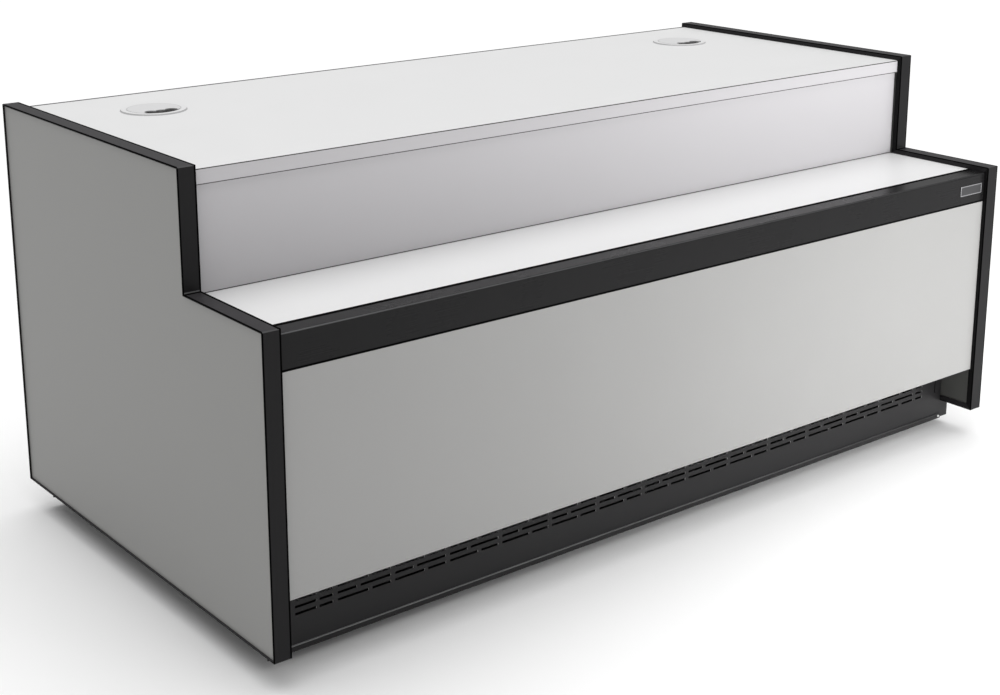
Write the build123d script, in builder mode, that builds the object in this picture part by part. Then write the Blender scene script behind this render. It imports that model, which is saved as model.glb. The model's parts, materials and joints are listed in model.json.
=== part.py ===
from build123d import *

import os

# Neutral display counter: a high worktop for the staff behind a low parcel shelf for the customer,
# between two stepped end panels, on a recessed base with levelling feet.
# Millimetres. The origin is on the floor under the middle of the counter, +X to the right as the
# customer sees it, +Y to the back and +Z up. "Back" values are distances from the end panels' front.

# Driving dimensions
LENGTH = 2000.0
DEPTH = 1032.0
HEIGHT = 900.0
STEP_BACK = 270.0
STEP_HEIGHT = 670.0
PANEL_THICKNESS = 37.0
PANEL_BOTTOM = 64.0
SIDE_GAP = 0.5

# End panels
EDGE_WALL = 2.5
EDGE_LIP = 3.5
EDGE_RECESS = 4.0
EDGE_FLANGE = 14.0
EDGE_ROUND = 2.4
CORNER_BEVEL = 1.4
MITRE_ALLOWANCE = 30.0
SKIN = 1.2

# Worktop, riser and parcel shelf
WORKTOP_TOP = 889.0
WORKTOP_THICKNESS = 30.0
WORKTOP_BACK = (282.0, 1030.0)
WORKTOP_ROUND = 1.5
RISER_BACK = (288.5, 306.5)
SHELF_TOP = 658.0
SHELF_THICKNESS = 25.0
SHELF_FRONT = 57.5

# Front rail and front panel
JOINT_GAP = 1.5
RAIL_TOP = 657.0
RAIL_BOTTOM = 590.0
RAIL_WALL = 2.5
RAIL_ROUND = 4.0
RAIL_LEDGE = 31.0
FRONT_FACE = 9.5
PANEL_TRAY_DEPTH = 20.0
PANEL_TRAY_WALL = 1.5
PANEL_TRAY_BOTTOM = 169.0
PANEL_TRAY_ROUND = 1.0

# Base and feet
BASE_BOTTOM = 20.0
BASE_FRONT = 92.5
BASE_REAR = 1000.0
BASE_WALL = 2.5
FRONT_RAIL_DEPTH = 72.5
REAR_RAIL_DEPTH = 40.0
LEFT_END_X = (-954.0, -900.0)
RIGHT_END_X = (940.0, 994.5)
CROSS_WIDTH = 60.0
FOOT_X = (-860.0, 0.0, 860.0)
FOOT_BACK = (145.0, 980.0)
FOOT_PAD_FLATS = 38.0
FOOT_PAD_HEIGHT = 10.0
FOOT_PAD_BEVEL = 3.0
FOOT_POCKET_DEPTH = 6.0
SPANNER_FLATS = 17.0
STUD_R = 5.0
STUD_TOP = 52.0
STUD_CLEARANCE = 0.05
STUD_HEAD_GAP = 0.3
NUT_HEIGHT = 10.0

# Plinth
PLINTH_FACE = 91.0
PLINTH_SHEET = 1.5
PLINTH_TOP = 171.0
KICK_PLATE_TOP = 188.0
PLINTH_FLANGE = 20.0
HEM_TOP = 31.7
HEM_STEP = 3.0
HEM_ROUND = 1.4
SLOT_ROWS = (119.0, 105.0, 91.0)
SLOT_HEIGHT = 5.0
SLOT_LONG = 68.0
SLOT_SHORT = 42.0
SLOT_GAP = 8.5
GRILLE_X = (-808.8, 863.5)
GRILLE_MODULES = 13
END_SLOTS = ((-900.5, -855.2), (-848.5, -819.2), (863.5, 888.9))
SLIT_X = 938.5
SLIT_LENGTH = 32.0
SLIT_WIDTH = 3.0

# Gables and rear storage
BOARD = 18.0
GABLE_FOOT = 115.0
GABLE_NECK = (90.0, 585.0)
BOTTOM_SHELF_TOP = 190.0
BOTTOM_SHELF_BACK = (31.0, 999.5)
MIDDLE_SHELF_TOP = 430.0
MIDDLE_SHELF_BACK = (480.0, 980.0)
CLEAT_LEG = 20.0
CLEAT_WALL = 2.0
CLEAT_MARGIN = 30.0
STRETCHER_HEIGHT = 80.0
STRETCHER_BACK = (980.0, 998.0)

# Cable grommets
GROMMET_X = 757.0
GROMMET_BACK = 830.0
GROMMET_FLANGE_R = 69.0
GROMMET_FLANGE = 3.0
GROMMET_BEVEL = 2.0
GROMMET_TUBE_R = 56.7
GROMMET_BORE_R = 51.0
GROMMET_HOLE_R = 57.0
GROMMET_SEAT_R = 56.3
GROMMET_SEAT = 0.5
GROMMET_DEPTH = 29.0
CAP_GAP = 0.3
CAP_THICKNESS = 2.4
CAP_SKIRT = 10.0
CAP_SKIRT_WALL = 2.0
CAP_CHORD = 37.0
CAP_LOBE_R = 13.5
CAP_LOBES = ((-23.0, -33.0), (0.0, -36.0), (23.0, -33.0))

# Values that follow from these
HALF = LENGTH / 2
INNER_HALF = HALF - PANEL_THICKNESS
BETWEEN = 2 * (INNER_HALF - SIDE_GAP)
WORKTOP_UNDER = WORKTOP_TOP - WORKTOP_THICKNESS
SHELF_UNDER = SHELF_TOP - SHELF_THICKNESS
TRAY_BACK = FRONT_FACE + PANEL_TRAY_DEPTH
BOTTOM_SHELF_UNDER = BOTTOM_SHELF_TOP - BOARD
BASE_HEIGHT = PANEL_BOTTOM - BASE_BOTTOM
SIDES = {"left": -1, "right": 1}


def y_at(back):
    """Frame Y of a distance from the end panels' front."""
    return back - DEPTH / 2


def outline(*points):
    """Corner points given as (back, height), in a sketch on a YZ plane."""
    return [(y_at(back), height) for back, height in points]


def keep(piece, name):
    """Labels a finished piece and writes it as its own file."""
    piece.part.label = name
    export_step(piece.part, f"parts/{name}.step")


os.makedirs("parts", exist_ok=True)

# End panels. Corners go round the outline: back, height, and the two signs that point inwards.
CORNERS = (
    (0.0, PANEL_BOTTOM, 1, 1),
    (0.0, STEP_HEIGHT, 1, -1),
    (STEP_BACK, STEP_HEIGHT, 1, -1),
    (STEP_BACK, HEIGHT, 1, -1),
    (DEPTH, HEIGHT, -1, -1),
    (DEPTH, PANEL_BOTTOM, -1, 1),
)
INNER_CORNER = CORNERS[2]
EDGES = ("front", "tread", "step", "top", "back", "bottom")
EDGE_SECTION = (
    (0, 0),
    (PANEL_THICKNESS, 0),
    (PANEL_THICKNESS, EDGE_FLANGE),
    (PANEL_THICKNESS - EDGE_WALL, EDGE_FLANGE),
    (PANEL_THICKNESS - EDGE_WALL, EDGE_WALL),
    (EDGE_RECESS, EDGE_WALL),
    (EDGE_RECESS, EDGE_LIP),
    (0, EDGE_LIP),
)
PANEL_BOARD = PANEL_THICKNESS - EDGE_WALL - EDGE_RECESS - SKIN


def edge_profile(side, start, end):
    """One length of the profile round an end panel, mitred at both corners and bevelled at outer ones."""
    points = [Vector(side * HALF, y_at(back), height) for back, height, _, _ in (start, end)]
    middle = (points[0] + points[1]) / 2
    across = Vector(-side, 0, 0)
    along = (points[1] - points[0]).normalized()
    inwards = Vector(0, along.Z, -along.Y)
    with BuildPart() as bar:
        with BuildSketch(Plane(middle, x_dir=across, z_dir=across.cross(inwards))) as section:
            with BuildLine():
                Polyline(*EDGE_SECTION, close=True)
            make_face()
            fillet(section.vertices().group_by(Axis.Y)[0], EDGE_ROUND)
        extrude(amount=(points[1] - points[0]).length / 2 + MITRE_ALLOWANCE, both=True)
        for point, corner in zip(points, (start, end)):
            diagonal = Vector(0, corner[2], corner[3]).normalized()
            towards = (middle - point).normalized()
            normal = towards - diagonal * towards.dot(diagonal)
            split(bisect_by=Plane(point, z_dir=normal), keep=Keep.TOP)
            if corner != INNER_CORNER:
                split(bisect_by=Plane(point + diagonal * CORNER_BEVEL, z_dir=diagonal), keep=Keep.TOP)
    return bar


def panel_sheet(side, depth_in, thickness):
    """A sheet or slab inside the profile, at a depth from the outer face."""
    with BuildPart() as sheet:
        with BuildSketch(Plane.YZ.offset(side * (HALF - depth_in))):
            with BuildLine():
                Polyline(
                    *[
                        (y_at(back + EDGE_WALL * inward_y), height + EDGE_WALL * inward_z)
                        for back, height, inward_y, inward_z in CORNERS
                    ],
                    close=True,
                )
            make_face()
        extrude(amount=-side * thickness)
    return sheet


for name, side in SIDES.items():
    for index, edge in enumerate(EDGES):
        bar = edge_profile(side, CORNERS[index], CORNERS[(index + 1) % len(CORNERS)])
        keep(bar, f"{name}_edge_{edge}")

    outer_skin = panel_sheet(side, EDGE_RECESS, SKIN)
    keep(outer_skin, f"{name}_panel_outer_skin")

    panel_board = panel_sheet(side, EDGE_RECESS + SKIN, PANEL_BOARD)
    keep(panel_board, f"{name}_panel_board")

# Gables: boards that stand on the base and follow the step, one at each end and one in the middle
GABLE_OUTLINE = outline(
    (GABLE_FOOT, PANEL_BOTTOM),
    (BASE_REAR, PANEL_BOTTOM),
    (BASE_REAR, WORKTOP_UNDER),
    (RISER_BACK[1], WORKTOP_UNDER),
    (RISER_BACK[1], SHELF_UNDER),
    (GABLE_NECK[0], SHELF_UNDER),
    GABLE_NECK,
    (TRAY_BACK, GABLE_NECK[1]),
    (TRAY_BACK, BOTTOM_SHELF_UNDER),
    (GABLE_FOOT, BOTTOM_SHELF_UNDER),
)


def gable(x):
    """A gable board from x towards +X."""
    with BuildPart() as board:
        with BuildSketch(Plane.YZ.offset(x)):
            with BuildLine():
                Polyline(*GABLE_OUTLINE, close=True)
            make_face()
        extrude(amount=BOARD)
    return board


middle_gable = gable(-BOARD / 2)
keep(middle_gable, "middle_gable")

for name, side in SIDES.items():
    end_gable = gable(side * (INNER_HALF - BOARD / 2) - BOARD / 2)
    keep(end_gable, f"{name}_gable")

# Base: folded channels. The right end carries the right panel, and the left end is set in under the
# left panel, with a ledge for the left gable.


def folded_channel(x_span, back_span, open_side, stud_places=(), ledge_x=None):
    """A channel folded from sheet, with nuts welded in for the feet's studs, or a ledge at its top."""
    with BuildPart() as channel:
        with BuildSketch(Plane.XY.offset(BASE_BOTTOM)):
            with Locations((sum(x_span) / 2, y_at(sum(back_span) / 2))):
                Rectangle(x_span[1] - x_span[0], back_span[1] - back_span[0])
        extrude(amount=BASE_HEIGHT)
        offset(amount=-BASE_WALL, openings=open_side(channel.faces()), kind=Kind.INTERSECTION)
        if stud_places:
            with BuildSketch(Plane.XY.offset(BASE_BOTTOM + BASE_WALL)):
                with Locations(*stud_places):
                    RegularPolygon(SPANNER_FLATS / 2, 6, major_radius=False)
            extrude(amount=NUT_HEIGHT)
            with BuildSketch(Plane.XY.offset(BASE_BOTTOM)):
                with Locations(*stud_places):
                    Circle(STUD_R + STUD_CLEARANCE)
            extrude(amount=BASE_WALL + NUT_HEIGHT, mode=Mode.SUBTRACT)
        if ledge_x:
            with BuildSketch(Plane.XY.offset(PANEL_BOTTOM - BASE_WALL)):
                with Locations((sum(ledge_x) / 2, y_at(sum(back_span) / 2))):
                    Rectangle(ledge_x[1] - ledge_x[0], back_span[1] - back_span[0])
            extrude(amount=BASE_WALL)
    return channel


def lowest(faces):
    return faces.sort_by(Axis.Z)[0]


def rearmost(faces):
    return faces.sort_by(Axis.Y)[-1]


def foremost(faces):
    return faces.sort_by(Axis.Y)[0]


RAIL_X = (LEFT_END_X[1], RIGHT_END_X[0])
CROSS_BACK = (BASE_FRONT + FRONT_RAIL_DEPTH, BASE_REAR - REAR_RAIL_DEPTH)
BASE_RAILS = {
    "front": (FOOT_BACK[0], (BASE_FRONT, CROSS_BACK[0]), rearmost),
    "rear": (FOOT_BACK[1], (CROSS_BACK[1], BASE_REAR), foremost),
}
for name, (foot_back, back_span, open_side) in BASE_RAILS.items():
    places = [(x, y_at(foot_back)) for x in FOOT_X]
    rail = folded_channel(RAIL_X, back_span, open_side, places)
    keep(rail, f"base_{name}_rail")

gable_ledge = (-INNER_HALF + SIDE_GAP, LEFT_END_X[0])
base_left_end = folded_channel(LEFT_END_X, (BASE_FRONT, BASE_REAR), lowest, ledge_x=gable_ledge)
keep(base_left_end, "base_left_end")

base_right_end = folded_channel(RIGHT_END_X, (BASE_FRONT, BASE_REAR), lowest)
keep(base_right_end, "base_right_end")

base_cross = folded_channel((-CROSS_WIDTH / 2, CROSS_WIDTH / 2), CROSS_BACK, lowest)
keep(base_cross, "base_middle_cross")

# Levelling feet: a six-sided pad moulded round the head of a stud
FOOT_PLACES = {
    f"{row}_{column}": (x, y_at(back))
    for row, back in zip(("front", "rear"), FOOT_BACK)
    for column, x in zip(("left", "middle", "right"), FOOT_X)
}
pocket_floor = FOOT_PAD_HEIGHT - FOOT_POCKET_DEPTH
stud_head_top = BASE_BOTTOM - STUD_HEAD_GAP

for name, (x, y) in FOOT_PLACES.items():
    with BuildPart() as foot_pad:
        with BuildSketch(Plane((x, y, 0))):
            RegularPolygon(FOOT_PAD_FLATS / 2, 6, major_radius=False)
        extrude(amount=FOOT_PAD_HEIGHT)
        chamfer(foot_pad.edges().group_by(Axis.Z)[-1], FOOT_PAD_BEVEL)
        with BuildSketch(Plane((x, y, pocket_floor))):
            RegularPolygon(SPANNER_FLATS / 2, 6, major_radius=False)
        extrude(amount=FOOT_POCKET_DEPTH, mode=Mode.SUBTRACT)
    keep(foot_pad, f"foot_pad_{name}")

    with BuildPart() as foot_stud:
        with BuildSketch(Plane((x, y, pocket_floor))):
            RegularPolygon(SPANNER_FLATS / 2, 6, major_radius=False)
        extrude(amount=stud_head_top - pocket_floor)
        with BuildSketch(Plane((x, y, stud_head_top))):
            Circle(STUD_R)
        extrude(amount=STUD_TOP - stud_head_top)
    keep(foot_stud, f"foot_stud_{name}")

# Plinth grille: a sheet with a joggled hem, a top flange and rows of long and short slots
hem_face = PLINTH_FACE - HEM_STEP
with BuildPart() as plinth_grille:
    with BuildSketch(Plane.YZ):
        with BuildLine():
            Polyline(
                *outline(
                    (hem_face, BASE_BOTTOM),
                    (hem_face, HEM_TOP),
                    (PLINTH_FACE, HEM_TOP),
                    (PLINTH_FACE, PLINTH_TOP),
                    (PLINTH_FACE + PLINTH_FLANGE, PLINTH_TOP),
                    (PLINTH_FACE + PLINTH_FLANGE, PLINTH_TOP - PLINTH_SHEET),
                    (PLINTH_FACE + PLINTH_SHEET, PLINTH_TOP - PLINTH_SHEET),
                    (PLINTH_FACE + PLINTH_SHEET, HEM_TOP - PLINTH_SHEET),
                    (hem_face + PLINTH_SHEET, HEM_TOP - PLINTH_SHEET),
                    (hem_face + PLINTH_SHEET, BASE_BOTTOM),
                ),
                close=True,
            )
        make_face()
    extrude(amount=BETWEEN / 2, both=True)
    fillet(foremost(plinth_grille.faces()).edges().sort_by(Axis.Z)[-1], HEM_ROUND)
    with BuildSketch(Plane.XZ.offset(-y_at(PLINTH_FACE))):
        pitch = (GRILLE_X[1] - GRILLE_X[0]) / GRILLE_MODULES
        for row, height in enumerate(SLOT_ROWS):
            first, second = (SLOT_SHORT, SLOT_LONG) if row % 2 else (SLOT_LONG, SLOT_SHORT)
            for module in range(GRILLE_MODULES):
                start = GRILLE_X[0] + module * pitch
                with Locations((start + first / 2, height)):
                    Rectangle(first, SLOT_HEIGHT)
                with Locations((start + first + SLOT_GAP + second / 2, height)):
                    Rectangle(second, SLOT_HEIGHT)
            for left, right in END_SLOTS:
                with Locations(((left + right) / 2, height)):
                    Rectangle(right - left, SLOT_HEIGHT)
        with Locations((-SLIT_X, SLOT_ROWS[1]), (SLIT_X, SLOT_ROWS[1])):
            Rectangle(SLIT_WIDTH, SLIT_LENGTH)
    extrude(amount=-PLINTH_SHEET, mode=Mode.SUBTRACT)
keep(plinth_grille, "plinth_grille")

with BuildPart() as rear_kick_plate:
    with BuildSketch(Plane.XZ.offset(-y_at(BASE_REAR))):
        with Locations((0, (BASE_BOTTOM + KICK_PLATE_TOP) / 2)):
            Rectangle(BETWEEN, KICK_PLATE_TOP - BASE_BOTTOM)
    extrude(amount=-PLINTH_SHEET)
keep(rear_kick_plate, "rear_kick_plate")

# Front panel: a sheet tray, open to the back
with BuildPart() as front_panel:
    with BuildSketch(Plane.XY.offset(PANEL_TRAY_BOTTOM)):
        with Locations((0, y_at(FRONT_FACE + PANEL_TRAY_DEPTH / 2))):
            Rectangle(BETWEEN, PANEL_TRAY_DEPTH)
    extrude(amount=RAIL_BOTTOM - JOINT_GAP - PANEL_TRAY_BOTTOM)
    offset(amount=-PANEL_TRAY_WALL, openings=rearmost(front_panel.faces()), kind=Kind.INTERSECTION)
    fillet(foremost(front_panel.faces()).edges(), PANEL_TRAY_ROUND)
keep(front_panel, "front_panel")

# Front rail: an extrusion that edges the parcel shelf, carries it on a ledge and stands on the gables
rail_back = SHELF_FRONT - JOINT_GAP
with BuildPart() as front_rail:
    with BuildSketch(Plane.YZ) as rail_section:
        with BuildLine():
            Polyline(
                *outline(
                    (FRONT_FACE, RAIL_BOTTOM),
                    (FRONT_FACE, RAIL_TOP),
                    (rail_back, RAIL_TOP),
                    (rail_back, SHELF_UNDER),
                    (rail_back + RAIL_LEDGE, SHELF_UNDER),
                    (rail_back + RAIL_LEDGE, SHELF_UNDER - RAIL_WALL),
                    (rail_back, SHELF_UNDER - RAIL_WALL),
                    (rail_back, GABLE_NECK[1]),
                    (rail_back - RAIL_WALL, GABLE_NECK[1]),
                    (rail_back - RAIL_WALL, RAIL_TOP - RAIL_WALL),
                    (FRONT_FACE + RAIL_WALL, RAIL_TOP - RAIL_WALL),
                    (FRONT_FACE + RAIL_WALL, RAIL_BOTTOM),
                ),
                close=True,
            )
        make_face()
        top_corners = rail_section.vertices().group_by(Axis.Y)
        fillet(top_corners[-1].sort_by(Axis.X)[0], RAIL_ROUND)
        fillet(top_corners[-2].sort_by(Axis.X)[0], RAIL_ROUND - RAIL_WALL)
    extrude(amount=BETWEEN / 2, both=True)
keep(front_rail, "front_rail")

# Boards between the end panels: parcel shelf, riser and worktop


def cross_board(back_span, z_low, thickness):
    """A flat board from end panel to end panel."""
    with BuildPart() as board:
        with BuildSketch(Plane.XY.offset(z_low)):
            with Locations((0, y_at(sum(back_span) / 2))):
                Rectangle(BETWEEN, back_span[1] - back_span[0])
        extrude(amount=thickness)
    return board


parcel_shelf = cross_board((SHELF_FRONT, RISER_BACK[1]), SHELF_UNDER, SHELF_THICKNESS)
keep(parcel_shelf, "parcel_shelf")

riser = cross_board(RISER_BACK, SHELF_TOP, WORKTOP_UNDER - SHELF_TOP)
keep(riser, "riser")

with BuildPart() as worktop:
    with BuildSketch(Plane.XY.offset(WORKTOP_UNDER)):
        with Locations((0, y_at(sum(WORKTOP_BACK) / 2))):
            Rectangle(BETWEEN, WORKTOP_BACK[1] - WORKTOP_BACK[0])
        with Locations((-GROMMET_X, y_at(GROMMET_BACK)), (GROMMET_X, y_at(GROMMET_BACK))):
            Circle(GROMMET_HOLE_R, mode=Mode.SUBTRACT)
    extrude(amount=WORKTOP_THICKNESS)
    fillet(foremost(worktop.faces()).edges().filter_by(Axis.X), WORKTOP_ROUND)
keep(worktop, "worktop")

# Cable grommets: a flanged liner in the worktop and a cap that turns in its seat
flange_top = WORKTOP_TOP + GROMMET_FLANGE
seat_top = WORKTOP_TOP + GROMMET_SEAT
cap_under = seat_top + CAP_GAP

for name, side in SIDES.items():
    x = side * GROMMET_X
    y = y_at(GROMMET_BACK)

    with BuildPart() as liner:
        with BuildSketch(Plane((x, y, 0), x_dir=(1, 0, 0), z_dir=(0, -1, 0))):
            with BuildLine():
                Polyline(
                    (GROMMET_BORE_R, WORKTOP_TOP - GROMMET_DEPTH),
                    (GROMMET_TUBE_R, WORKTOP_TOP - GROMMET_DEPTH),
                    (GROMMET_TUBE_R, WORKTOP_TOP),
                    (GROMMET_FLANGE_R, WORKTOP_TOP),
                    (GROMMET_FLANGE_R - GROMMET_BEVEL, flange_top),
                    (GROMMET_SEAT_R, flange_top),
                    (GROMMET_SEAT_R, seat_top),
                    (GROMMET_BORE_R, seat_top),
                    close=True,
                )
            make_face()
        revolve(axis=Axis((x, y, 0), (0, 0, 1)))
    keep(liner, f"{name}_grommet_liner")

    with BuildPart() as cap:
        with BuildSketch(Plane((x, y, cap_under))):
            Circle(GROMMET_SEAT_R - CAP_GAP)
        extrude(amount=CAP_THICKNESS)
        with BuildSketch(Plane((x, y, cap_under))):
            Circle(GROMMET_BORE_R - CAP_GAP)
            Circle(GROMMET_BORE_R - CAP_GAP - CAP_SKIRT_WALL, mode=Mode.SUBTRACT)
        extrude(amount=-CAP_SKIRT)
        with BuildSketch(Plane((x, y, cap_under - CAP_SKIRT))):
            with Locations((0, -CAP_CHORD)):
                Rectangle(2 * GROMMET_SEAT_R, GROMMET_SEAT_R, align=(Align.CENTER, Align.MAX))
            with Locations(*CAP_LOBES):
                Circle(CAP_LOBE_R)
        extrude(amount=CAP_SKIRT + CAP_THICKNESS, mode=Mode.SUBTRACT)
    keep(cap, f"{name}_grommet_cap")

# Rear storage: shelves on angle cleats, and stretchers under the worktop
SHELVES = {
    "bottom": (BOTTOM_SHELF_TOP, BOTTOM_SHELF_BACK),
    "middle": (MIDDLE_SHELF_TOP, MIDDLE_SHELF_BACK),
}
BAY = (BOARD / 2, INNER_HALF - BOARD)
bay_middle = sum(BAY) / 2
bay_clear = BAY[1] - BAY[0] - 2 * SIDE_GAP

for name, side in SIDES.items():
    for level, (shelf_top, (front, rear)) in SHELVES.items():
        with BuildPart() as shelf:
            with BuildSketch(Plane.XY.offset(shelf_top - BOARD)):
                with Locations((side * bay_middle, y_at((front + rear) / 2))):
                    Rectangle(bay_clear, rear - front)
            extrude(amount=BOARD)
        keep(shelf, f"{name}_{level}_shelf")

    with BuildPart() as stretcher:
        with BuildSketch(Plane.XY.offset(WORKTOP_UNDER - STRETCHER_HEIGHT)):
            with Locations((side * bay_middle, y_at(sum(STRETCHER_BACK) / 2))):
                Rectangle(bay_clear, STRETCHER_BACK[1] - STRETCHER_BACK[0])
        extrude(amount=STRETCHER_HEIGHT)
    keep(stretcher, f"{name}_rear_stretcher")

with BuildPart() as shelf_cleats:
    for shelf_top, (front, rear) in SHELVES.values():
        top = shelf_top - BOARD
        cleat_front = max(front, GABLE_FOOT) + CLEAT_MARGIN
        with BuildSketch(Plane.XZ.offset(-y_at(cleat_front))):
            for side in SIDES.values():
                for wall, inwards in zip(BAY, (1, -1)):
                    gable_face = side * wall
                    reach = side * inwards
                    with BuildLine():
                        Polyline(
                            (gable_face, top),
                            (gable_face + reach * CLEAT_LEG, top),
                            (gable_face + reach * CLEAT_LEG, top - CLEAT_WALL),
                            (gable_face + reach * CLEAT_WALL, top - CLEAT_WALL),
                            (gable_face + reach * CLEAT_WALL, top - CLEAT_LEG),
                            (gable_face, top - CLEAT_LEG),
                            close=True,
                        )
                    make_face()
        extrude(amount=-(rear - CLEAT_MARGIN - cleat_front))
keep(shelf_cleats, "shelf_cleats")
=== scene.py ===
# %% [markdown]
# # A serving counter, dressed for its studio picture
# The counter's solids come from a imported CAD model, and they already have the right shapes and sizes. This lesson
# gives each of them its finish, adds the fasteners and the blank plate, which are too small for the CAD model, and
# sets up a camera, a floor and lights. Everything is in metres and in the CAD model's own frame: +X runs to the
# customer's right, +Y from the customer to the staff and +Z up. The counter stands on the floor at Z = 0.

# %% Load the counter
import json
import math

import bpy
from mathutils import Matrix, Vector

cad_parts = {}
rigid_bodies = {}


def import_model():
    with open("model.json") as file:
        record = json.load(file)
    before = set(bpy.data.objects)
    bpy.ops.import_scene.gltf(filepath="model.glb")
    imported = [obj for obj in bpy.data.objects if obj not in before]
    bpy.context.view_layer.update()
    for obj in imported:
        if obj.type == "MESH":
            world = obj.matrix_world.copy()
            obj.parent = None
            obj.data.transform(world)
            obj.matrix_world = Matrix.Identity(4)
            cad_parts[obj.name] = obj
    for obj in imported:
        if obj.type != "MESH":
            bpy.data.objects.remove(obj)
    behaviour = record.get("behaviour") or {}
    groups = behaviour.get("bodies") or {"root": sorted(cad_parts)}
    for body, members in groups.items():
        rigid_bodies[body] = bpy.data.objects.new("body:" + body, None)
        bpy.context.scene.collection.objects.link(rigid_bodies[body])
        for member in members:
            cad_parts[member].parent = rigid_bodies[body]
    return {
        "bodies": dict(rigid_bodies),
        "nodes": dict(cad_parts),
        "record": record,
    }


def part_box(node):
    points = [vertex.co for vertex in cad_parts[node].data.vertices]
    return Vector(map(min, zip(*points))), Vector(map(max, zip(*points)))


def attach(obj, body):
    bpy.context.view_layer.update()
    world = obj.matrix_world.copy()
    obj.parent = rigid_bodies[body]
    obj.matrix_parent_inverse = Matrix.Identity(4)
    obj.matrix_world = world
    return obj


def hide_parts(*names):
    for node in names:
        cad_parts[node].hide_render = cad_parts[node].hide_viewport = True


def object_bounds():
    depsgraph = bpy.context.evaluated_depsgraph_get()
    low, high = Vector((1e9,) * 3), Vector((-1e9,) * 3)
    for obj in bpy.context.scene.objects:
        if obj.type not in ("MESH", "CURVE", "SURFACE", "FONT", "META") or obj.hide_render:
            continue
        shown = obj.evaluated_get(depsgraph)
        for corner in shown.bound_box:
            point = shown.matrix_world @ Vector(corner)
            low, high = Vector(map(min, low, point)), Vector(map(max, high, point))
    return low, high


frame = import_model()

nodes = frame["nodes"]
cad_box = [list(corner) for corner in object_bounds()]
print("loaded", len(nodes), "solids in the box", cad_box)

# %% [markdown]
# ## The camera
# The photograph looks at the front left corner from above the worktop, and its upright edges stay almost parallel.
# A photographer gets that with a level camera and a lens that shifts down. A full shift would push the counter out
# of the frame when the camera moves round it, so this camera shifts a little and tilts down for the rest. The lens
# length follows from the width of the sensor and of the picture.

# %% Camera
PICTURE_WIDTH = 1000
FOCAL_PIXELS = 1679.5
CAMERA_PLACE = (-2.3256, -2.8122, 1.5413)
CAMERA_TURN = math.radians(38.472)
CAMERA_TILT = math.radians(14.461)
CAMERA_SHIFT = -0.13


def in_scene(name, data):
    """A new object at the origin, made from a mesh, a lamp or a lens."""
    made = bpy.data.objects.new(name, data)
    bpy.context.scene.collection.objects.link(made)
    return made


lens = bpy.data.cameras.new("studio_camera")
lens.sensor_fit = "HORIZONTAL"
lens.lens = FOCAL_PIXELS * lens.sensor_width / PICTURE_WIDTH
lens.shift_y = CAMERA_SHIFT
camera = in_scene("studio_camera", lens)
camera.location = CAMERA_PLACE
camera.rotation_euler = (math.pi / 2 - CAMERA_TILT, 0, -CAMERA_TURN)
bpy.context.scene.camera = camera
print("camera with a lens of", round(lens.lens, 1), "mm")

# %% [markdown]
# ## Writing node trees as sums
# A finish needs a dozen nodes, and placing each of them by hand hides what the finish does. The class Wire wraps one
# output socket, so that a sum such as 0.4 + 0.1 * grain adds the Math nodes by itself. The class Tree adds any other
# node: its settings come first, because they decide which sockets it has, and its sockets after that. Shader trees
# and geometry trees both use it.

# %% Wires and trees
class Wire:
    """One output socket of a tree. Sums with it add Math nodes."""

    def __init__(self, tree, socket):
        self.tree = tree
        self.socket = socket

    def math(self, operation, *values):
        return self.tree.math(operation, *values)

    def __add__(self, other):
        return self.math("ADD", self, other)

    __radd__ = __add__

    def __sub__(self, other):
        return self.math("SUBTRACT", self, other)

    def __rsub__(self, other):
        return self.math("SUBTRACT", other, self)

    def __mul__(self, other):
        return self.math("MULTIPLY", self, other)

    __rmul__ = __mul__

    def __truediv__(self, other):
        return self.math("DIVIDE", self, other)

    def __rtruediv__(self, other):
        return self.math("DIVIDE", other, self)

    def __mod__(self, other):
        return self.math("FLOORED_MODULO", self, other)

    def __gt__(self, other):
        return self.math("GREATER_THAN", self, other)

    def __lt__(self, other):
        return self.math("LESS_THAN", self, other)

    def __abs__(self):
        return self.math("ABSOLUTE", self)


def pick(sockets, key):
    """A socket in use, by its name or its number."""
    used = [socket for socket in sockets if socket.enabled]
    if isinstance(key, int):
        return used[key]
    return next(socket for socket in used if socket.name == key)


class Tree:
    """A node tree that is written line by line."""

    def __init__(self, graph):
        self.graph = graph

    def node(self, kind, settings=None, sockets=None, output=0):
        made = self.graph.nodes.new(kind)
        for name, value in (settings or {}).items():
            setattr(made, name, value)
        for key, value in (sockets or {}).items():
            self.feed(pick(made.inputs, key), value)
        return Wire(self, pick(made.outputs, output))

    def math(self, operation, *values):
        return self.node("ShaderNodeMath", {"operation": operation}, dict(enumerate(values)))

    def feed(self, socket, value):
        for part in value if isinstance(value, list) else [value]:
            if isinstance(part, Wire):
                self.graph.links.new(part.socket, socket)
            else:
                socket.default_value = part


print("wires and trees are ready")

# %% [markdown]
# ## What the finishes share
# Every finish on the counter is a soft grain, a colour that drifts a little and a shallow relief. Pictures laid on
# unwrapped faces could carry that, but each board and profile would need its own layout. Object coordinates are metres
# in the counter's frame, so a grain's size is given in metres and stays the same on every piece. A stretch below 1
# makes the grain longer along that axis, as on a drawn profile. The way a face points and the height it lies at tell
# folds, rims and flanges apart, so that one finish can treat them differently. The painted highlights are lightest at
# the counter's left end, so all finishes share one rule for how they fade to the right.

# %% A finish
# The painted highlights fade along the counter by these numbers.
FADE_MIDDLE = 0.55
FADE_SLOPE = 0.45


def tint(colour, share):
    """A colour made lighter or darker by a share of itself."""
    return tuple(part * (1 + share) for part in colour)


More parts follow.
